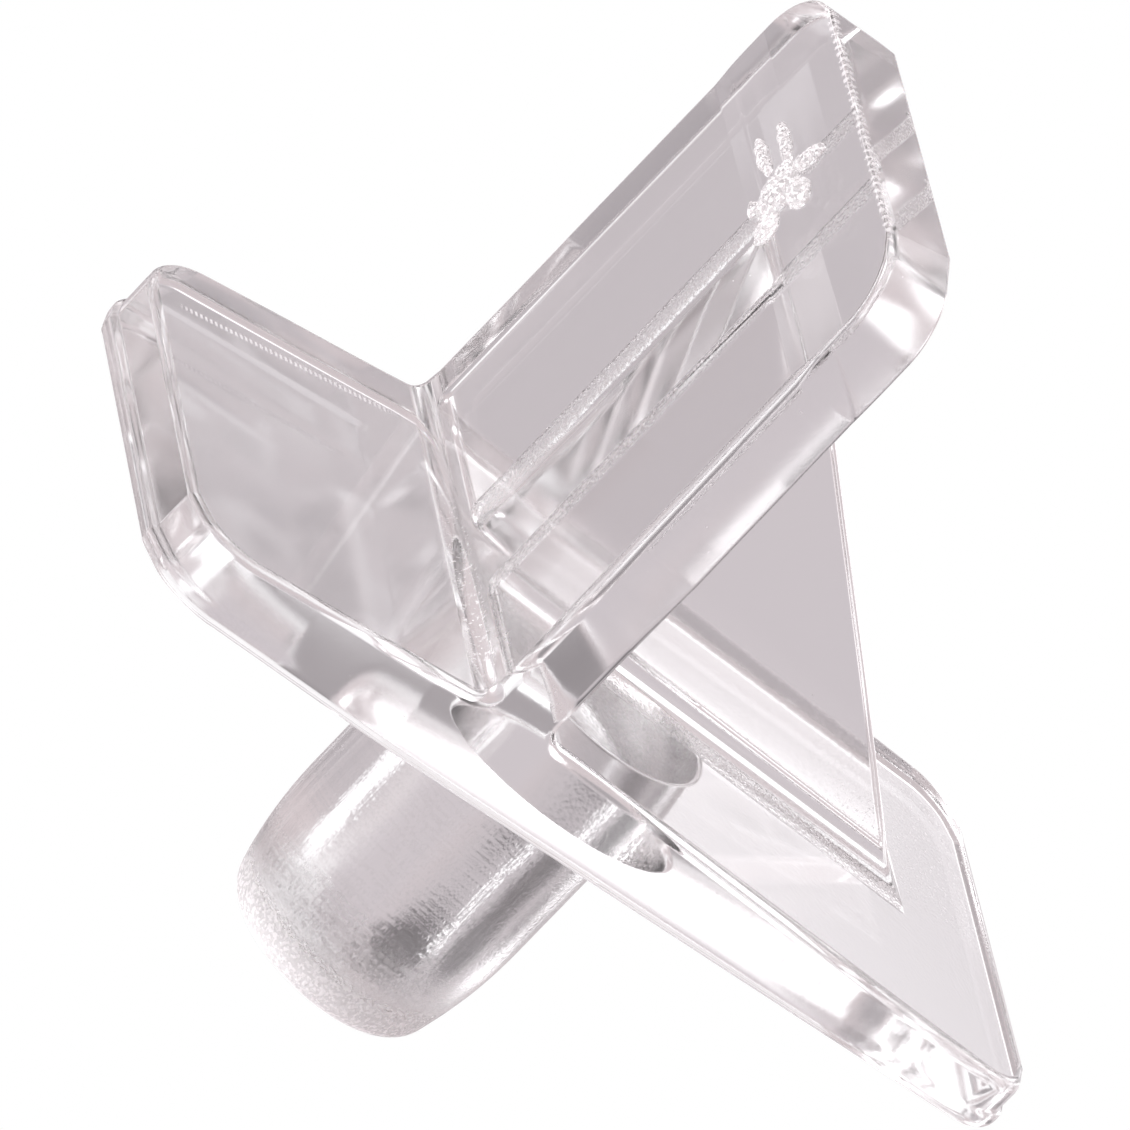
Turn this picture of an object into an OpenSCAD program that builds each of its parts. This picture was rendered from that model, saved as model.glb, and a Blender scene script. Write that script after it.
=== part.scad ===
// Shelf support pin, injection moulded in one piece from clear plastic.
// The origin is on the peg's axis, where it meets the wall side of the back plate.
// +X points away from the cabinet wall, +Z up, and the width runs along Y.

/* [Peg] */
// Diameter of the peg, made for a 5 mm shelf hole
peg_d = 5; // [3:0.1:6]
// How far the peg reaches behind the back plate
peg_len = 6.3; // [4.5:0.1:12]
// Length of the rounded nose at the peg's end
nose_len = 2.7; // [1.5:0.1:3]
// Radius of the long curve that leads into the nose
nose_curve_r = 9; // [8:0.5:20]
// Radius of the edge round the flat tip
tip_edge_r = 0.6; // [0.2:0.1:0.8]

/* [Back plate] */
// Height of the plate above the peg's axis
plate_above = 10; // [7:0.1:16]
// Depth of the plate below the peg's axis
plate_below = 10; // [8:0.1:18]
// Width of the plate where the ledge stands on it
plate_w = 10.4; // [8:0.1:20]
// Width lost from the ledge to the plate's top end
top_taper = 0.7; // [0:0.1:1.5]
// Width lost from the ledge to the plate's bottom end
bottom_taper = 0.3; // [0:0.1:1.5]
// Thickness of the plate where the ledge stands on it
plate_t = 1.9; // [1.5:0.05:3]
// Thickness of the plate at its top end
plate_top_t = 1.4; // [0.8:0.05:1.5]
// Thickness of the plate at its bottom end
plate_bottom_t = 1.15; // [0.8:0.05:1.5]
// Radius of the plate's four corners
plate_corner_r = 1.4; // [0.5:0.1:3]

/* [Ledge] */
// Distance from the cabinet wall to the ledge's free end
ledge_out = 12.8; // [11.5:0.1:20]
// Height of the shelf's seat above the peg's axis
ledge_z = 3.85; // [2:0.05:5]
// Thickness of the ledge
ledge_t = 1.45; // [1:0.05:3]
// Width lost along the ledge to its free end
ledge_taper = 0.35; // [0:0.05:1.5]
// Radius of the two corners at the free end
ledge_corner_r = 1.45; // [0.5:0.05:3]

/* [Gusset] */
// Distance from the cabinet wall to the gusset's upper point
gusset_out = 9.85; // [6:0.05:11]
// Depth of the gusset's lower point below the peg's axis
gusset_low = 7.1; // [4:0.1:7.5]
// Thickness of the gusset under the ledge
gusset_t = 1.6; // [1.3:0.05:3]
// Thickness of the gusset at its lower point
gusset_low_t = 1.3; // [0.8:0.05:1.3]

/* [Blends] */
// Radius of the blends between the ledge and the plate
ledge_blend_r = 0.3; // [0.1:0.05:0.6]
// Radius of the blends along both sides of the gusset
gusset_blend_r = 0.65; // [0.1:0.05:0.8]

/* [Gate mark] */
// Diameter of the mark left where the plastic was let in
gate_d = 1.1; // [0.5:0.1:2]
// How far the mark stands above the seat
gate_h = 0.12; // [0.05:0.01:0.3]
// Distance from the ledge's free end to the middle of the mark
gate_inset = 2.15; // [1.6:0.05:4]
// How far the mark lies to the far side of the middle
gate_y = 0.3; // [-1:0.1:1]

/* [Hidden] */
$fn = 96;
peg_r = peg_d / 2;
straight_len = peg_len - nose_len;
ledge_low_z = ledge_z - ledge_t;
root = plate_bottom_t / 2;   // how deep the other shapes start inside the plate
back_off = 0.2;              // how deep a blend is let into the faces it joins

// Distance of the plate's front face from the wall, at height z below the ledge
function front_x(z) =
    plate_t + (plate_bottom_t - plate_t) * (ledge_low_z - z) / (ledge_low_z + plate_below);

function unit(v) = v / norm(v);
function half_angle(a, b, c) = acos(unit(a - b) * unit(c - b)) / 2;

// Middle of the arc of radius r that touches the lines b-a and b-c
function arc_middle(a, b, c, r) =
    b + unit(unit(a - b) + unit(c - b)) * r / sin(half_angle(a, b, c));

// Point where that arc touches the line b-a
function touch(a, b, c, r) = b + unit(a - b) * r / tan(half_angle(a, b, c));

// Outline through pts whose corners are rounded by radii (0 leaves a corner sharp)
module rounded_outline(pts, radii) {
    n = len(pts);
    polygon([for (i = [0 : n - 1])
        let (a = pts[(i + n - 1) % n], b = pts[i], c = pts[(i + 1) % n], r = radii[i])
        each r > 0 ? [touch(a, b, c, r), touch(c, b, a, r)] : [b]]);
    for (i = [0 : n - 1])
        if (radii[i] > 0)
            translate(arc_middle(pts[(i + n - 1) % n], pts[i], pts[(i + 1) % n], radii[i]))
                circle(r = radii[i]);
}

// Hollow corner blend at b, between a face running to a and a face running to c
module corner_blend(a, b, c, r) {
    inward = -unit(unit(a - b) + unit(c - b)) * back_off;
    difference() {
        polygon([touch(a, b, c, r), arc_middle(a, b, c, r), touch(c, b, a, r),
                 touch(c, b, a, r) + inward, b + inward, touch(a, b, c, r) + inward]);
        translate(arc_middle(a, b, c, r)) circle(r = r);
    }
}

// Shapes drawn in a view and run square to it: side (X, Z), front (Y, Z)
module from_side(w) { rotate([90, 0, 0]) linear_extrude(height = w, center = true) children(); }
module from_front(l) { rotate([90, 0, 90]) linear_extrude(height = l) children(); }

// Flat on the wall side, its front falls away above and below the ledge
module back_plate() {
    top_w = plate_w - top_taper;
    bottom_w = plate_w - bottom_taper;
    intersection() {
        from_side(plate_w + 2)
            polygon([[0, -plate_below], [plate_bottom_t, -plate_below], [plate_t, ledge_low_z],
                     [plate_t, ledge_z], [plate_top_t, plate_above], [0, plate_above]]);
        translate([-1, 0, 0])
            from_front(plate_t + 2)
                rounded_outline(
                    [[-bottom_w / 2, -plate_below], [bottom_w / 2, -plate_below],
                     [plate_w / 2, ledge_low_z], [plate_w / 2, ledge_z],
                     [top_w / 2, plate_above], [-top_w / 2, plate_above],
                     [-plate_w / 2, ledge_z], [-plate_w / 2, ledge_low_z]],
                    [plate_corner_r, plate_corner_r, 0, 0, plate_corner_r, plate_corner_r, 0, 0]);
    }
}

module ledge() {
    end_w = plate_w - ledge_taper;
    translate([0, 0, ledge_low_z])
        linear_extrude(height = ledge_t)
            rounded_outline(
                [[root, -plate_w / 2], [plate_t, -plate_w / 2], [ledge_out, -end_w / 2],
                 [ledge_out, end_w / 2], [plate_t, plate_w / 2], [root, plate_w / 2]],
                [0, 0, ledge_corner_r, ledge_corner_r, 0, 0]);
}

// Blends above and below the ledge, across the whole width
module ledge_blends() {
    top_face = [plate_top_t, plate_above];
    bottom_face = [plate_bottom_t, -plate_below];
    from_side(plate_w) {
        corner_blend([ledge_out, ledge_z], [plate_t, ledge_z], top_face, ledge_blend_r);
        corner_blend(bottom_face, [plate_t, ledge_low_z], [ledge_out, ledge_low_z], ledge_blend_r);
    }
}

// Blends between the gusset's sides and the sloping front of the plate
module gusset_blends() {
    foot_x = front_x(-gusset_low);
    run = ledge_low_z + gusset_low;
    lean_x = plate_t - foot_x;
    lean_y = (gusset_t - gusset_low_t) / 2;
    for (s = [-1, 1])
        translate([foot_x, s * gusset_low_t / 2, -gusset_low])
            rotate([-asin(s * lean_y / norm([lean_x, lean_y, run])), atan2(lean_x, run), 0])
                linear_extrude(height = run)
                    corner_blend([plate_w, 0], [0, 0], [0, s * plate_w], gusset_blend_r);
}

// Triangular web at mid width, thinner towards its lower point, with blends on both sides
module gusset() {
    half = gusset_t / 2;
    low_half = gusset_low_t / 2;
    intersection() {
        from_side(gusset_t + 4 * gusset_blend_r)
            polygon([[root, -gusset_low], [front_x(-gusset_low), -gusset_low],
                     [gusset_out, ledge_low_z], [gusset_out, ledge_z - ledge_t / 2],
                     [root, ledge_z - ledge_t / 2]]);
        union() {
            from_front(ledge_out) {
                polygon([[-low_half, -gusset_low], [low_half, -gusset_low], [half, ledge_low_z],
                         [half, ledge_z], [-half, ledge_z], [-half, ledge_low_z]]);
                for (s = [-1, 1])
                    corner_blend([s * low_half, -gusset_low], [s * half, ledge_low_z],
                                 [s * plate_w, ledge_low_z], gusset_blend_r);
            }
            gusset_blends();
        }
    }
}

// The nose is a long curve from the straight wall, then a small round onto the flat tip
module peg() {
    curve_mid = [peg_r - nose_curve_r, straight_len];
    tip_z = peg_len - tip_edge_r;
    tip_mid = [curve_mid[0] + sqrt(pow(nose_curve_r - tip_edge_r, 2) - pow(tip_z - straight_len, 2)), tip_z];
    meet = curve_mid + unit(tip_mid - curve_mid) * nose_curve_r;
    rotate([0, -90, 0])
        rotate_extrude()
            union() {
                translate([0, -root]) square([peg_r, straight_len + root]);
                intersection() {
                    translate(curve_mid) circle(r = nose_curve_r);
                    translate([0, straight_len]) square([peg_r, meet[1] - straight_len]);
                }
                intersection() {
                    translate(tip_mid) circle(r = tip_edge_r);
                    translate([0, meet[1]]) square([peg_r, peg_len - meet[1]]);
                }
                translate([0, straight_len]) square([tip_mid[0], nose_len]);
            }
}

module gate_mark() {
    translate([ledge_out - gate_inset, gate_y, ledge_z - ledge_t / 2])
        cylinder(d = gate_d, h = ledge_t / 2 + gate_h);
}

module shelf_pin() {
    color([0.86, 0.84, 0.85])
        union() {
            back_plate();
            ledge();
            ledge_blends();
            gusset();
            peg();
            gate_mark();
        }
}

shelf_pin();
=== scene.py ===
import math
import bmesh
import bpy
from mathutils import Matrix, Vector, noise

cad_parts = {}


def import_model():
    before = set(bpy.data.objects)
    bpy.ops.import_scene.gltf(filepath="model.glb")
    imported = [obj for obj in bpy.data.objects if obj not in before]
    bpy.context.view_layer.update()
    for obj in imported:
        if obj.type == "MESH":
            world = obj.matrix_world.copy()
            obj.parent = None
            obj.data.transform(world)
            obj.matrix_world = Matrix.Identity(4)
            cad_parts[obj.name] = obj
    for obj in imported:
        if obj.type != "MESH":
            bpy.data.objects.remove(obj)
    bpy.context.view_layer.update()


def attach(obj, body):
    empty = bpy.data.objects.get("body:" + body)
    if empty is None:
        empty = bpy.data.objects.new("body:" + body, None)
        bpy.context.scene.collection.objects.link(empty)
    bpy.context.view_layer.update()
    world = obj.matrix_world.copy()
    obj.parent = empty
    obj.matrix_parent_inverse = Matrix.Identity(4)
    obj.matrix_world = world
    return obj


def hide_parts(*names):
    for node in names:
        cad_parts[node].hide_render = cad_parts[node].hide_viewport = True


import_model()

# ---------------------------------------------------------------- camera
# A long lens looks down on the pin from its near side and is tipped over, so that
# the ledge points up and to the right and the peg down and to the left.
frame_px = 1130
lens_px = 14212
camera_place = (0.088341, -0.209614, 0.111343)
camera_round = 22.224
camera_up = 25.793
camera_tip = -56.167
camera = bpy.data.objects.new("camera", bpy.data.cameras.new("camera"))
bpy.context.scene.collection.objects.link(camera)
bpy.context.scene.camera = camera
camera.data.lens = lens_px / frame_px * camera.data.sensor_width
camera.data.clip_start = 0.02
camera.data.clip_end = 20
aim = (Matrix.Rotation(math.radians(camera_round), 3, "Z")
       @ Matrix.Rotation(math.radians(90 - camera_up), 3, "X")
       @ Matrix.Rotation(math.radians(camera_tip), 3, "Z"))
camera.matrix_world = Matrix.Translation(camera_place) @ aim.to_4x4()

# ---------------------------------------------------------------- back plate
# The flat plate that stands against the cabinet's wall, moulded in clear plastic.
# It is thickest behind the ledge and thins to both ends, so that it leaves the mould.
# It is shaped in millimetres, and the finished pin is brought to metres.
plate_above = 10.0
plate_below = 10.0
plate_w = 10.4
plate_t = 1.9
plate_top_t = 1.4
plate_bottom_t = 1.15
top_taper = 0.7
bottom_taper = 0.3
plate_corner = 1.4
low_corner = 1.2
crease_turn = 18
round_share = 0.62
foot = 0.9
near_short = 0.07
bottom_short = 0.08
far_set_in = 0.06
ledge_top = 3.85
ledge_under = 2.4


def edit(piece, kind):
    """One piece in edit mode with nothing selected."""
    bpy.context.view_layer.objects.active = piece
    if piece.mode != "EDIT":
        bpy.ops.object.mode_set(mode="EDIT")
    bpy.context.tool_settings.mesh_select_mode = [kind == k for k in ("VERT", "EDGE", "FACE")]
    bpy.ops.mesh.select_all(action="DESELECT")
    return bmesh.from_edit_mesh(piece.data)


def pick(piece, kind, wanted):
    """Selects the corners, edges or faces of a piece that wanted() says yes to."""
    mesh = edit(piece, kind)
    for item in {"VERT": mesh.verts, "EDGE": mesh.edges, "FACE": mesh.faces}[kind]:
        if wanted(item):
            item.select_set(True)
    mesh.select_flush_mode()
    bmesh.update_edit_mesh(piece.data)


def in_order(piece):
    """Lists a piece's corners and faces by their places, so that every run makes the same mesh."""
    if bpy.context.mode != "OBJECT":
        bpy.ops.object.mode_set(mode="OBJECT")
    mesh = piece.data
    spots = sorted((tuple(v.co), v.index) for v in mesh.vertices)
    number = {old: new for new, (spot, old) in enumerate(spots)}
    faces = []
    for face in mesh.polygons:
        corners = [number[v] for v in face.vertices]
        first = corners.index(min(corners))
        faces.append(corners[first:] + corners[:first])
    mesh.clear_geometry()
    mesh.from_pydata([spot for spot, old in spots], [], sorted(faces))


def cut(piece, point, normal, wanted=lambda face: True, **more):
    """Cuts a piece along a plane, through the faces that wanted() says yes to."""
    pick(piece, "FACE", wanted)
    bpy.ops.mesh.bisect(plane_co=point, plane_no=normal, **more)
    in_order(piece)


def block(name, low, high):
    """A plain block between two corners, to be shaped in edit mode."""
    if bpy.context.mode != "OBJECT":
        bpy.ops.object.mode_set(mode="OBJECT")
    bpy.ops.object.select_all(action="DESELECT")
    low, high = Vector(low), Vector(high)
    bpy.ops.mesh.primitive_cube_add(size=1, location=(low + high) / 2, scale=high - low)
    piece = bpy.context.object
    piece.name = name
    bpy.ops.object.transform_apply(location=True, rotation=True, scale=True)
    return piece


def close(a, b):
    return abs(a - b) < 1e-3


def turn_corner(piece, corner, ahead, sideways, reach):
    """Shapes a corner as the mould has it: a crease, a nearly flat turn, then a round one."""
    corner, ahead, sideways = Vector(corner), Vector(ahead), Vector(sideways)
    turn = math.radians(crease_turn)
    outwards = ahead * math.cos(turn) + sideways * math.sin(turn)
    cut(piece, corner - sideways * reach, outwards, clear_outer=True, use_fill=True)
    drop = corner - ahead * reach * math.tan(turn)

    def at_drop(v):
        return max(abs((v.co - drop).dot(way)) for way in (ahead, sideways)) < 0.06

    pick(piece, "EDGE", lambda e: all(at_drop(v) for v in e.verts))
    bpy.ops.mesh.bevel(offset=round_share * reach, segments=14, profile=0.5)
    in_order(piece)


pin = block("clear_pin", (0, -plate_w / 2, -plate_below), (plate_t, plate_w / 2, plate_above))
for height in (ledge_under - foot, ledge_under, ledge_top, ledge_top + foot):
    cut(pin, (0, 0, height), (0, 0, 1))
for end, taper, thickness in ((plate_above, top_taper, plate_top_t),
                              (-plate_below, bottom_taper, plate_bottom_t)):
    pick(pin, "VERT", lambda v: close(v.co.z, end))
    bpy.ops.transform.resize(value=(1, 1 - taper / plate_w, 1), center_override=(0, 0, end))
    pick(pin, "VERT", lambda v: close(v.co.z, end) and v.co.x > 0.5)
    bpy.ops.transform.translate(value=(thickness - plate_t, 0, 0))
for end, root, thickness in ((plate_above, ledge_top, plate_top_t),
                             (-plate_below, ledge_under, plate_bottom_t)):
    near_foot = root + math.copysign(foot, end)
    pick(pin, "VERT", lambda v: close(v.co.z, near_foot) and v.co.x > 0.5)
    bpy.ops.transform.translate(value=((thickness - plate_t) * foot / abs(end - root), 0, 0))
pick(pin, "VERT", lambda v: close(v.co.z, ledge_top + foot) and v.co.y > 0)
bpy.ops.transform.translate(value=(0, -far_set_in, 0))
for end, short in ((plate_above, 0), (-plate_below, bottom_short)):
    pick(pin, "VERT", lambda v: close(v.co.z, end))
    bpy.ops.transform.translate(value=(0, 0, -math.copysign(short, end)))
    pick(pin, "VERT", lambda v: abs(v.co.z) > plate_above - 0.3 and v.co.z * end > 0 and v.co.y < 0)
    bpy.ops.transform.translate(value=(0, 0, -math.copysign(near_short, end)))
for end, half_w in ((plate_above, (plate_w - top_taper) / 2),
                    (-plate_below, (plate_w - bottom_taper) / 2)):
    for side in (-1, 1):
        reach = (max if end > 0 else min)(v.co.z for v in edit(pin, "VERT").verts if v.co.y * side > 0)
        turn_corner(pin, (0, side * half_w, reach), (0, 0, math.copysign(1, end)), (0, side, 0),
                    plate_corner if end > 0 else low_corner)

# ---------------------------------------------------------------- ledge
# The flat ledge that carries the shelf, drawn out of the plate in the same plastic.
# Its sides are flush with the plate's, and it narrows a little to its rounded free end.
ledge_out = 12.8
ledge_taper = 0.35
ledge_corner = 1.45
far_corner = 1.5
end_lean = 0.09
root_step = 0.5

pick(pin, "FACE", lambda f: close(f.calc_center_median().x, plate_t)
     and ledge_under < f.calc_center_median().z < ledge_top)
for step in (root_step, ledge_out - plate_t - root_step):
    bpy.ops.mesh.extrude_region_move(TRANSFORM_OT_translate={"value": (step, 0, 0)})
bpy.ops.transform.resize(value=(1, 1 - ledge_taper / plate_w, 1), center_override=(ledge_out, 0, 0))
pick(pin, "VERT", lambda v: close(v.co.x, ledge_out) and v.co.z < ledge_top - 0.5)
bpy.ops.transform.translate(value=(end_lean, 0, 0))
pick(pin, "VERT", lambda v: v.co.x > ledge_out - 0.1 and v.co.y < 0)
bpy.ops.transform.translate(value=(-near_short, 0, 0))
for side in (-1, 1):
    reach = max(v.co.x for v in edit(pin, "VERT").verts if v.co.y * side > 0)
    turn_corner(pin, (reach - end_lean / 2, side * (plate_w - ledge_taper) / 2, 0), (1, 0, 0), (0, side, 0),
                far_corner if side > 0 else ledge_corner)

# ---------------------------------------------------------------- gusset
# The web under the ledge's middle that stops it from bending, cast with the rest.
# It thins towards its lower point, and its long edge slopes from the ledge to the plate.
gusset_out = 9.85
gusset_low = 7.05
gusset_t = 1.6
gusset_low_t = 1.35
sunk = 0.6
set_back = (plate_bottom_t - plate_t) * (ledge_under + gusset_low)
front_at_low = plate_t + set_back / (ledge_under + plate_below)

web = block("web", (sunk, -gusset_t / 2, -gusset_low - sunk),
            (gusset_out + 1, gusset_t / 2, ledge_top - 0.5))
cut(web, (0, 0, ledge_under), (0, 0, 1))
pick(web, "VERT", lambda v: v.co.z < -gusset_low)
narrow = 1 - (1 - gusset_low_t / gusset_t) * (ledge_under + gusset_low + sunk) / (ledge_under + gusset_low)
bpy.ops.transform.resize(value=(1, narrow, 1), center_override=(0, 0, 0))
slope_top = Vector((gusset_out, 0, ledge_under))
slope_out = Vector((ledge_under + gusset_low, 0, front_at_low - gusset_out)).normalized()
cut(web, slope_top, slope_out, clear_outer=True, use_fill=True)

# ---------------------------------------------------------------- peg
# The round peg behind the plate, which is pushed into the hole in the cabinet's wall.
# It is turned to shape in the mould: a straight shank, a long curve, and a flat tip.
peg_r = 2.5
peg_len = 6.3
nose_len = 2.7
nose_curve = 9.0
tip_edge = 0.6
tip_tilt = 1.2
tip_turn = 60
nose_rings = 10
tip_rings = 8

shank = peg_len - nose_len
bpy.ops.object.mode_set(mode="OBJECT")
bpy.ops.object.select_all(action="DESELECT")
bpy.ops.mesh.primitive_cylinder_add(vertices=128, radius=peg_r, depth=shank + sunk,
                                    location=((sunk - shank) / 2, 0, 0), rotation=(0, math.radians(90), 0))
peg = bpy.context.object
peg.name = "peg"
bpy.ops.object.transform_apply(location=True, rotation=True, scale=True)
middle = peg_r - nose_curve
edge_x = peg_len - tip_edge
edge_r = middle + math.sqrt((nose_curve - tip_edge) ** 2 - (edge_x - shank) ** 2)
lean = math.atan2(edge_x - shank, edge_r - middle)
rings = [(shank + nose_curve * math.sin(lean * i / nose_rings),
          middle + nose_curve * math.cos(lean * i / nose_rings)) for i in range(1, nose_rings + 1)]
rings += [(edge_x + tip_edge * math.sin(a), edge_r + tip_edge * math.cos(a))
          for a in (lean + (math.pi / 2 - lean) * i / tip_rings for i in range(1, tip_rings + 1))]
pick(peg, "FACE", lambda f: close(f.calc_center_median().x, -shank))
x, r = shank, peg_r
for next_x, next_r in rings:
    bpy.ops.mesh.extrude_region_move(TRANSFORM_OT_translate={"value": (x - next_x, 0, 0)})
    bpy.ops.transform.resize(value=(1, next_r / r, next_r / r), center_override=(0, 0, 0))
    x, r = next_x, next_r
pick(peg, "VERT", lambda v: v.co.x < -edge_x - 0.01)
turned = Matrix.Rotation(math.radians(tip_turn), 3, "X")
bpy.ops.transform.rotate(value=math.radians(tip_tilt), orient_axis="Z", orient_type="LOCAL",
                         orient_matrix=turned, orient_matrix_type="LOCAL", center_override=(-edge_x, 0, 0))

# ---------------------------------------------------------------- one moulding
# The web and the peg run into the plate and the ledge as one solid, without a seam.
# Inner corners are blended as the mould's cutter left them, and outer edges are eased.
peg_blend = 0.12
ledge_blend = 0.3
web_blend = 0.5
toe_blend = 0.15
wall_edge_round = 0.25
side_edge_round = 0.24
under_edge_round = 0.1
crisp_round = 0.07
end_edge_round = 0.16
lip_depth = 0.36
lip_slope = 0.16
lip_out = 0.11
lip_steps = 6
lip_reach = 1.47
crease_round = 0.05
slices = 24
merge_within = 1e-3
flat_within = 0.15
mm = 0.001


def fold(edge):
    """The angle that the surface turns through at an edge: above 0 outside, below 0 inside."""
    return math.degrees(edge.calc_face_angle_signed(0))


def mark(width, wanted):
    """Marks the edges that wanted() says yes to with the width that their rounding gets."""
    pick(pin, "EDGE", wanted)
    bpy.ops.transform.edge_bevelweight(value=width)


def round_marked(steps):
    """Rounds every marked edge in one go, so that the roundings meet cleanly at corners."""
    bpy.ops.object.mode_set(mode="OBJECT")
    rounding = pin.modifiers.new("rounding", "BEVEL")
    rounding.limit_method = "WEIGHT"
    rounding.width = 1
    rounding.segments = steps
    rounding.use_clamp_overlap = False
    rounding.miter_inner = "MITER_SHARP"
    bpy.ops.object.modifier_apply(modifier="rounding")
    in_order(pin)


def on_web(edge):
    return all(abs(v.co.y) < gusset_t / 2 + 0.02 and v.co.x > 1 for v in edge.verts)


def at_wall(edge):
    return all(close(v.co.x, 0) for v in edge.verts)


def on_slope(edge):
    return all(abs((v.co - slope_top).dot(slope_out)) < 0.01 for v in edge.verts)


def inner(edge):
    """Whether an edge lies in a sharp inner corner."""
    return fold(edge) < -60


def outer(edge):
    """Whether an edge lies on an outer corner."""
    return fold(edge) > 25


def at_rim(edge):
    return not at_wall(edge) and not on_slope(edge) and not at_end(edge)


def at_end(edge):
    """Whether an edge is a crease that runs across one of the three ends."""
    a, b = (v.co for v in edge.verts)
    return abs(a.y - b.y) < 0.02 and (abs(a.z) > plate_above - 0.5 or a.x > ledge_out - 0.5)


def grown(distance, run):
    """0 up to no distance, 1 from a whole run on, and in step with the distance between them."""
    return min(max(distance / run, 0), 1)


def rim_width(edge):
    """How wide an outer edge is eased: least round the three ends and under the ledge."""
    middle = (edge.verts[0].co + edge.verts[1].co) / 2
    under = grown(middle.x - plate_t - 2, 2) if middle.z < ledge_top - 0.5 else 0
    width = side_edge_round + (under_edge_round - side_edge_round) * under
    if middle.x > plate_t + 0.5:
        sharper = grown(middle.x - gusset_out - 0.05, 0.5)
        return round(width + (crisp_round - width) * sharper, 3)
    sharper = grown(middle.z - plate_above + 4.5, 1.2)
    return round(width + (end_edge_round - width) * sharper, 3)


def unite(part):
    """Makes a part one solid with the pin."""
    in_order(part)
    bpy.context.view_layer.objects.active = pin
    join = pin.modifiers.new("join", "BOOLEAN")
    join.operation = "UNION"
    join.solver = "EXACT"
    join.object = part
    bpy.ops.object.modifier_apply(modifier="join")
    bpy.data.objects.remove(part)
    in_order(pin)


def lip_rise(step):
    """How far the lip stands out after this many of its steps."""
    return lip_out * (1 - math.cos(math.pi * step / lip_steps)) / 2


bpy.ops.object.mode_set(mode="OBJECT")
bpy.ops.object.select_all(action="DESELECT")
pin.select_set(True)
for part in (web, peg):
    unite(part)
edit(pin, "VERT")
bpy.ops.mesh.select_all(action="SELECT")
bpy.ops.mesh.remove_doubles(threshold=1e-4)

# Flat neighbours become one face. A face can't have a hole in it, so the wall side keeps one line.
pick(pin, "EDGE", lambda e: at_wall(e) and all(close(v.co.z, ledge_under - foot) for v in e.verts))
bpy.ops.mesh.mark_seam()
bpy.ops.mesh.select_all(action="SELECT")
bpy.ops.mesh.dissolve_limited(angle_limit=math.radians(flat_within), delimit={"SEAM"})
in_order(pin)
mark(peg_blend, lambda e: inner(e) and at_wall(e))
mark(ledge_blend, lambda e: inner(e) and not on_web(e) and not at_wall(e))
mark(web_blend, lambda e: inner(e) and on_web(e))
mark(toe_blend, lambda e: -60 < fold(e) < -30 and on_slope(e))
round_marked(6)

# Slices across the ledge and the plate, between which the width of the easing changes.
for i in range(slices + 1):
    for first, last, way in ((ledge_out - 1.5, gusset_out + 0.05, 0), (plate_t + 0.5, plate_t + 4, 0),
                             (plate_above - 1.5, ledge_top + foot, 2)):
        spot, normal = Vector(), Vector()
        spot[way], normal[way] = first + (last - first) * i / slices, 1
        cut(pin, spot, normal)
cut(pin, (0, 0, ledge_under - foot), (0, 0, 1), lambda f: f.calc_center_median().x > -merge_within)
mark(crisp_round, lambda e: fold(e) > 40 and on_slope(e))
mark(wall_edge_round, lambda e: outer(e) and at_wall(e))
mark(crease_round, lambda e: 12 < fold(e) < 25 and at_end(e))
rim = [e for e in edit(pin, "EDGE").edges if outer(e) and at_rim(e)]
for width in sorted({rim_width(e) for e in rim}):
    mark(width, lambda e: outer(e) and at_rim(e) and rim_width(e) == width)
round_marked(5)

# The half of the mould that forms the back of the plate is a little longer than the front half,
# so a low step runs round both ends of the plate where the halves met.
for i in range(lip_steps + 1):
    cut(pin, (lip_depth + lip_slope * i / lip_steps, 0, 0), (1, 0, 0))
for i in range(lip_steps):
    depth = lip_depth + lip_slope * (i + 0.5) / lip_steps
    rise = lip_rise(i + 1) - lip_rise(i)
    for end in (-1, 1):
        pick(pin, "VERT", lambda v: v.co.x < depth and v.co.z * end > plate_above - lip_reach)
        bpy.ops.transform.translate(value=(0, 0, end * rise))

# The mark where the plastic ran in and was twisted off: a lumpy stub on the ledge, with three
# short tongues that point to the far side and a round drip at its foot.
# Each lump has its place, its half length, half width and height, and how far it is turned.
# It is thrown out of true by broad swells and small pimples, so many to a millimetre.
swell, swells = 0.05, 5.0
pimple, pimples = 0.015, 16.0
lump_sunk = 0.02
gate_lumps = ((10.68, 0.14, 0.56, 0.46, 0.26, 20), (11.10, -0.34, 0.30, 0.46, 0.20, 8),
              (10.96, 0.48, 0.28, 0.28, 0.22, 0), (10.56, 1.55, 0.15, 0.66, 0.19, 3),
              (11.10, 1.34, 0.14, 0.72, 0.17, -3), (11.52, 0.26, 0.42, 0.21, 0.18, -14),
              (10.24, -0.42, 0.33, 0.36, 0.13, 0), (10.08, 0.42, 0.17, 0.17, 0.15, 0))
noise.seed_set(1)
bpy.ops.object.mode_set(mode="OBJECT")
for x, y, long, wide, tall, twist in gate_lumps:
    bpy.ops.object.select_all(action="DESELECT")
    bpy.ops.mesh.primitive_ico_sphere_add(subdivisions=4, radius=1, scale=(long, wide, tall),
                                          location=(x, y, ledge_top - lump_sunk),
                                          rotation=(0, 0, math.radians(twist)))
    lump = bpy.context.object
    bpy.ops.object.transform_apply(location=True, rotation=True, scale=True)
    for v in lump.data.vertices:
        v.co += swell * noise.noise_vector(v.co * swells) + pimple * noise.noise_vector(v.co * pimples)
    unite(lump)
edit(pin, "VERT")
bpy.ops.mesh.select_all(action="SELECT")
bpy.ops.mesh.remove_doubles(threshold=merge_within)
bpy.ops.mesh.select_all(action="SELECT")
bpy.ops.mesh.dissolve_degenerate(threshold=merge_within)
in_order(pin)
pick(pin, "EDGE", lambda e: fold(e) < -8 and all(close(v.co.z, ledge_top) and v.co.x > 9
                                                 for v in e.verts))
bpy.ops.mesh.mark_sharp()

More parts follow.
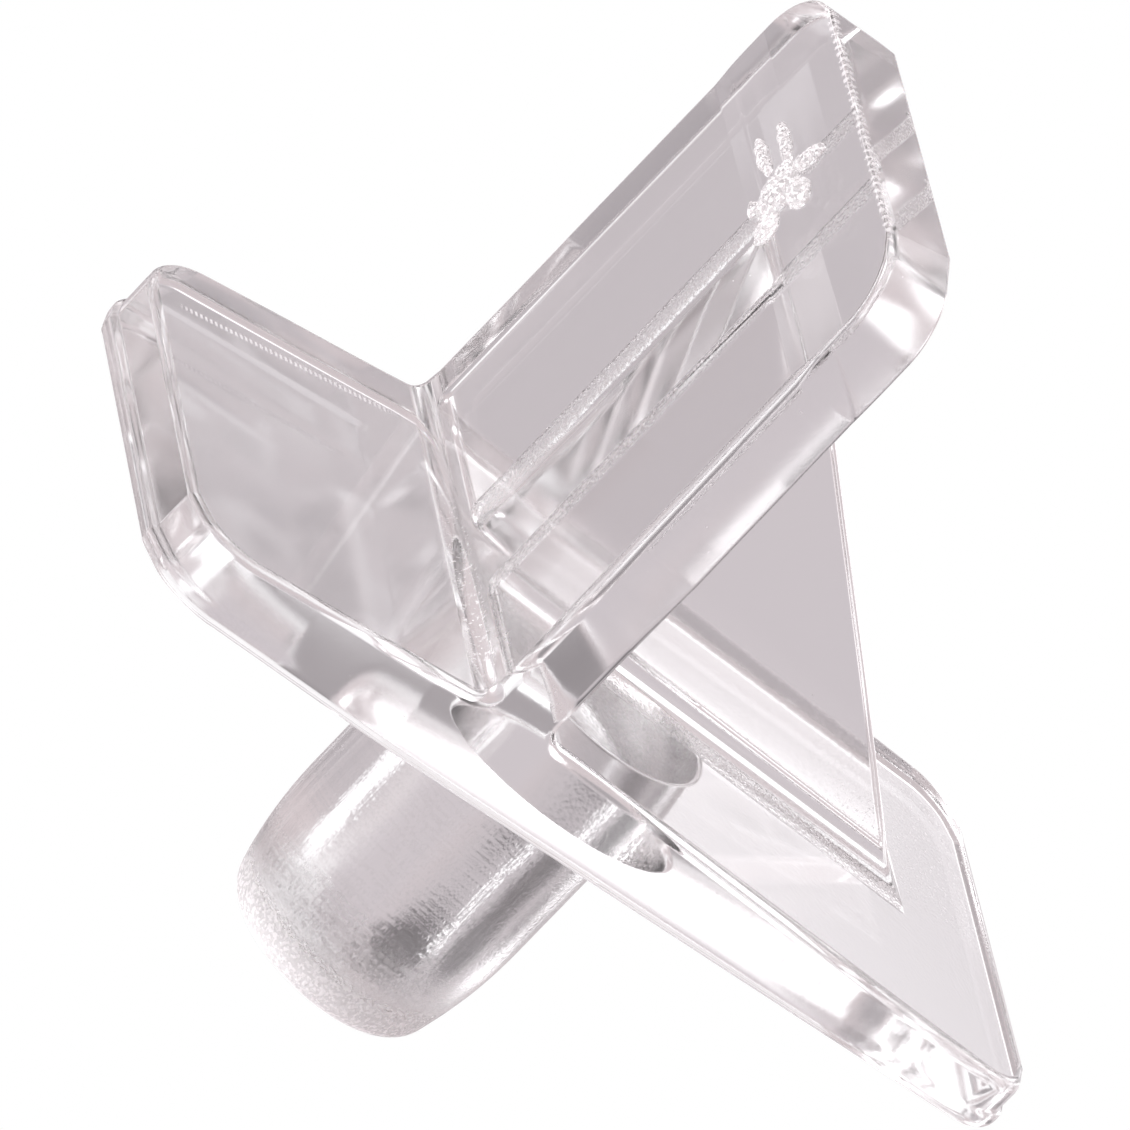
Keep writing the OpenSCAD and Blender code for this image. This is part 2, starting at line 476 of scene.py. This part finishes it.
edit(pin, "VERT")
bpy.ops.mesh.select_all(action="SELECT")
bpy.ops.transform.resize(value=(mm, mm, mm), center_override=(0, 0, 0))
bpy.ops.mesh.faces_shade_smooth()
bpy.ops.object.mode_set(mode="OBJECT")
even = pin.modifiers.new("even", "WEIGHTED_NORMAL")
even.mode = "FACE_AREA"
even.weight = 50
even.keep_sharp = True
bpy.ops.object.modifier_apply(modifier="even")


# ---------------------------------------------------------------- plastic
# Clear polystyrene, injection moulded in a polished mould, with the faintest mauve cast.
# Its faces are glossy with a little dust on them. The peg is streaked, its tip was left frosted by
# the cutter, and the corners beside the gusset are rough and also carry painted white highlights.
# White highlights are painted on two rows of small beads. Sizes of the relief are in millimetres.
tint = (0.993, 0.989, 0.991, 1)
# The white of torn and frosted skin, also used for the painted highlights.
torn_and_highlight_white = (0.98, 0.97, 0.975, 1)
torn_and_highlight_rough = 0.5
refraction = 1.49
polish = 0.07
frost_rough = 0.14
grain_size = 0.075
streak_size = 0.09
streak_stretch = 14
bead_pitch = 0.11
bead_line = 3.935
bead_lean = 0.087
skin_rise = 0.0003
streak_rise = 0.004
frost_rise = 0.02
under_rise = 0.006
root_rise = 0.016
stub_rise = 0.02


class Wire:
    """One socket of a shader. Arithmetic on it adds the nodes that work it out."""
    tree = None

    def __init__(self, socket):
        self.socket = socket

    @classmethod
    def node(cls, kind, settings, sockets, out=0):
        """Any node: its settings come first, then the values or wires of its sockets."""
        made = cls.tree.nodes.new(kind)
        for name, setting in settings.items():
            setattr(made, name, setting)
        for key, value in sockets.items():
            if isinstance(value, Wire):
                cls.tree.links.new(value.socket, made.inputs[key])
            else:
                made.inputs[key].default_value = value
        return cls(made.outputs[out])

    def maths(self, operation, *others):
        return Wire.node("ShaderNodeMath", {"operation": operation}, dict(enumerate((self, *others))))

    def __add__(self, other): return self.maths("ADD", other)
    def __radd__(self, other): return self.maths("ADD", other)
    def __sub__(self, other): return self.maths("SUBTRACT", other)
    def __rsub__(self, other): return (self * -1).maths("ADD", other)
    def __mul__(self, other): return self.maths("MULTIPLY", other)
    def __rmul__(self, other): return self.maths("MULTIPLY", other)

    def band(self, low, high):
        """0 below low and 1 above high, and smooth between them."""
        return Wire.node("ShaderNodeMapRange", {"interpolation_type": "SMOOTHSTEP"},
                         {0: self, 1: low, 2: high})


clear = bpy.data.materials.new("clear_plastic")
clear.use_nodes = True
Wire.tree = clear.node_tree
place = Wire.node("ShaderNodeTexCoord", {}, {}, out="Object")
along, aside, upwards = (Wire.node("ShaderNodeSeparateXYZ", {}, {0: place}, out=axis) for axis in "XYZ")
off_middle = aside.maths("ABSOLUTE")
off_line = (aside + upwards * bead_lean - bead_line * mm).maths("ABSOLUTE")


def grain(size, detail, stretch=1):
    """Random relief with grains of about this size, and this many times longer from front to back."""
    spot = Wire.node("ShaderNodeMapping", {}, {"Vector": place, "Scale": (1 / stretch, 1, 1)})
    return Wire.node("ShaderNodeTexNoise", {}, {"Vector": spot, "Scale": 1 / (size * mm), "Detail": detail,
                                                "Roughness": 0.55})


def past(wire, start, soft):
    """0 before a distance, and 1 from a soft limit past it on."""
    return (wire - start * mm).band(0, soft * mm)


def before(wire, end, soft):
    """1 up to a soft limit before a distance, and 0 from it on."""
    return (end * mm - wire).band(0, soft * mm)


def between(wire, low, high, soft):
    """1 between two distances and 0 outside them, with soft limits."""
    return past(wire, low, soft) * before(wire, high, soft)


# Where the skin of the plastic differs from the rest: on the peg, at its frosted tip and on its
# underside, in the corners beside the gusset (rough, and with painted highlights), at the plate's lower
# end, on the stub that the runner left, at the ledge's foot, and on two edges with a row of small beads,
# which carry only painted highlights.
on_peg = before(along, -0.1, 0.4)
frosted = before(along, 1.4 - peg_len, 1.1)
below = on_peg * before(upwards, -0.1, 1)
web_foot = (between(off_middle, gusset_t / 2 + 0.04, gusset_t / 2 + 0.65, 0.12)
            * between(upwards, -gusset_low - 0.15, ledge_under + 0.2, 0.15) * past(along, 0.3, 0.1))
low_end = between(along, 0.7, 2.2, 0.1) * before(upwards, -4.5, 3) * past(aside, -1.5, 2.5)
stub = past(upwards, ledge_top + 0.003, 0.027) * past(along, 9.6, 0.1)
ledge_foot = (between(along, plate_t - 0.15, plate_t + 0.4, 0.1)
              * between(upwards, ledge_under - 0.35, ledge_top + 0.25, 0.1)
              * before(aside, 2, 5) * past(aside, -4.7, 0.5))
far_line = before(off_line, 0.1, 0.05) * past(along, 1.2, 0.1) * between(upwards, 4.5, 9.6, 0.6)
ledge_edge = past(along, ledge_out - 0.18, 0.06) * past(upwards, ledge_top - 0.17, 0.06)

fine = grain(grain_size, 1)
streaks = grain(streak_size, 0, streak_stretch)
pitch = 2 * math.pi / (bead_pitch * mm)
# Painted highlight: a white row of beads along the plate's far edge, standing in for glints.
far_bead_highlight = (upwards * pitch).maths("SINE").band(-0.7, 0.5) * far_line
# Painted highlight: a white row of beads along the ledge's end edge, standing in for glints.
ledge_bead_highlight = ((aside * (pitch / 2)).maths("SINE") * 0.5 + fine * 3 - 1.4).band(0, 0.6) * ledge_edge
height = (streaks * on_peg * (streak_rise * mm)
          + fine * (skin_rise * mm + frosted * (frost_rise * mm) + below * (under_rise * mm)
                    + web_foot * (root_rise * mm) + stub * (stub_rise * mm)))
bump = Wire.node("ShaderNodeBump", {}, {"Strength": 1, "Distance": 1, "Height": height})

# How much white is mixed in: thrown back by dust, the stub, the frosted tip, the rough places and
# white specks, and painted as highlights on the two rows of beads and in the corners beside the gusset.
spots = (fine - 0.47).band(0, 0.12)
specks = (fine - 0.6).band(0, 0.08)
dust = (fine - 0.8).band(0, 0.05)
# Beside the gusset the white is partly rough skin and partly a painted highlight; on the beads it is only a
# painted highlight.
scuffed_and_painted_highlight = (dust * 0.5 + stub * (0.25 + spots * 0.6) + frosted * 0.45 + web_foot * 0.1
           + spots * (web_foot * 0.4 + frosted * 0.25 + below * 0.12)
           + specks * (low_end * 0.7 + ledge_foot)
           + far_bead_highlight * 0.9 + ledge_bead_highlight * 0.6)

shader = clear.node_tree.nodes["Principled BSDF"]
clear.node_tree.links.new(bump.socket, shader.inputs["Normal"])
clear.node_tree.links.new((polish + frosted * frost_rough).socket, shader.inputs["Roughness"])
shader.inputs["Base Color"].default_value = tint
shader.inputs["Transmission Weight"].default_value = 1
shader.inputs["IOR"].default_value = refraction
# A white rough shader for torn, frosted and dusty skin, and also for the painted highlights.
torn_and_highlight_shader = Wire.node("ShaderNodeBsdfPrincipled", {}, {"Base Color": torn_and_highlight_white, "Roughness": torn_and_highlight_rough,
                                                  "Normal": bump})
mixed = Wire.node("ShaderNodeMixShader", {}, {0: scuffed_and_painted_highlight, 1: Wire(shader.outputs[0]), 2: torn_and_highlight_shader})
clear.node_tree.links.new(mixed.socket, clear.node_tree.nodes["Material Output"].inputs["Surface"])
pin.data.materials.append(clear)

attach(pin, "root")
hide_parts("shelf_pin")

# ---------------------------------------------------------------- floor
# A plain white floor well below the pin. It is lit evenly, so that nothing darkens it.
floor_w = 6
floor_down = 0.05
bpy.ops.object.select_all(action="DESELECT")
bpy.ops.mesh.primitive_plane_add(size=floor_w, location=(0, 0, -floor_down))
floor = bpy.context.object
floor.name = "floor"
white = bpy.data.materials.new("white_floor")
white.use_nodes = True
Wire.tree = white.node_tree
white.node_tree.nodes.remove(white.node_tree.nodes["Principled BSDF"])
glow = Wire.node("ShaderNodeEmission", {}, {"Color": (1, 1, 1, 1), "Strength": 1})
white.node_tree.links.new(glow.socket, white.node_tree.nodes["Material Output"].inputs["Surface"])
floor.data.materials.append(white)
floor.visible_glossy = False
floor.visible_transmission = False
floor.visible_diffuse = False
floor.visible_shadow = False

# ---------------------------------------------------------------- studio
# A pale tent all round the pin, with brighter panels let into it and darker cards hung in front.
# Each is given by where it stands round the pin, its height, half its width and height, and its light.
tent = (0.668, 0.592, 0.606)
paper_tint = (1, 0.92, 0.96)
lamp_tint = (1, 0.985, 1)
lamp_level = 0.9
panel_edge = (0.4, 1.6)
bounces = 12
panels = ((159, -46, 31, 24, 1.0), (103, -13, 45, 25, 1.2), (129, -25, 20, 5, 1.6),
          (166, 32, 40, 6, 1.15), (-164, 30, 7, 9, 1.7), (-145, -24, 9, 6, 1.8),
          (-62, -19, 12, 3, 1.8), (-86, -68, 41, 6, 0.55), (-165, 0, 12, 25, 0.56),
          (-160, -32, 11, 9, 0.62), (-22, -34, 11, 24, 0.5), (-20, -21, 4.5, 6, 0.42),
          (157, -25, 4, 10, 0.38), (-167, -12, 5.5, 9, 0.16), (-163, 8, 6.5, 7, 0.16),
          (-22, 28, 5, 8, 0.4), (-153, 41, 4.5, 6, 0.3), (-158, 24, 4, 5, 0.28),
          (151, -20, 2.2, 2.3, 0.2), (161, -30, 2, 3.5, 0.25), (120, 34, 14, 6, 1.8),
          (144, -46, 7, 6, 1.8), (-152, -52, 6, 4, 1.2), (20, 76, 30, 30, 3),
          (-150, -3, 5, 12, 0.4), (-161, -4, 5, 0.9, 1.3), (-95, 20, 30, 26, 2.4))

world = bpy.data.worlds.new("studio")
bpy.context.scene.world = world
world.use_nodes = True
world.cycles.sampling_method = "NONE"
Wire.tree = world.node_tree
towards = Wire.node("ShaderNodeTexCoord", {}, {}, out="Generated")


def share(axis):
    """How far the way that a ray leaves by points along an axis."""
    return Wire.node("ShaderNodeVectorMath", {"operation": "DOT_PRODUCT"}, {0: towards, 1: axis},
                     out="Value")


def blend(factor, dark, bright):
    """One colour where the factor is 0, and the other where it is 1."""
    return Wire.node("ShaderNodeMix", {"data_type": "RGBA"}, {0: factor, 6: dark, 7: bright}, out=2)


light = tent + (1,)
for around, height, wide, tall, level in panels:
    a, e = math.radians(around), math.radians(height)
    across = share((math.cos(a), math.sin(a), 0)) * (1 / math.sin(math.radians(wide)))
    above = share((-math.sin(a) * math.sin(e), math.cos(a) * math.sin(e), math.cos(e)))
    above = above * (1 / math.sin(math.radians(tall)))
    ahead = share((math.sin(a) * math.cos(e), -math.cos(a) * math.cos(e), math.sin(e)))
    ahead = ahead.maths("GREATER_THAN", 0)
    inside = (1 - (across * across + above * above).band(*panel_edge)) * ahead
    cast = lamp_tint if level > lamp_level else paper_tint
    colour = tuple(level * part for part in cast) + (1,)
    light = blend(inside, light, colour)
seen = Wire.node("ShaderNodeLightPath", {}, {}, out="Is Camera Ray")
light = blend(seen, light, (1, 1, 1, 1))
world.node_tree.links.new(light.socket, world.node_tree.nodes["Background"].inputs["Color"])
cycles = bpy.context.scene.cycles
cycles.max_bounces = cycles.transmission_bounces = cycles.glossy_bounces = bounces
bpy.context.scene.view_settings.view_transform = "Standard"
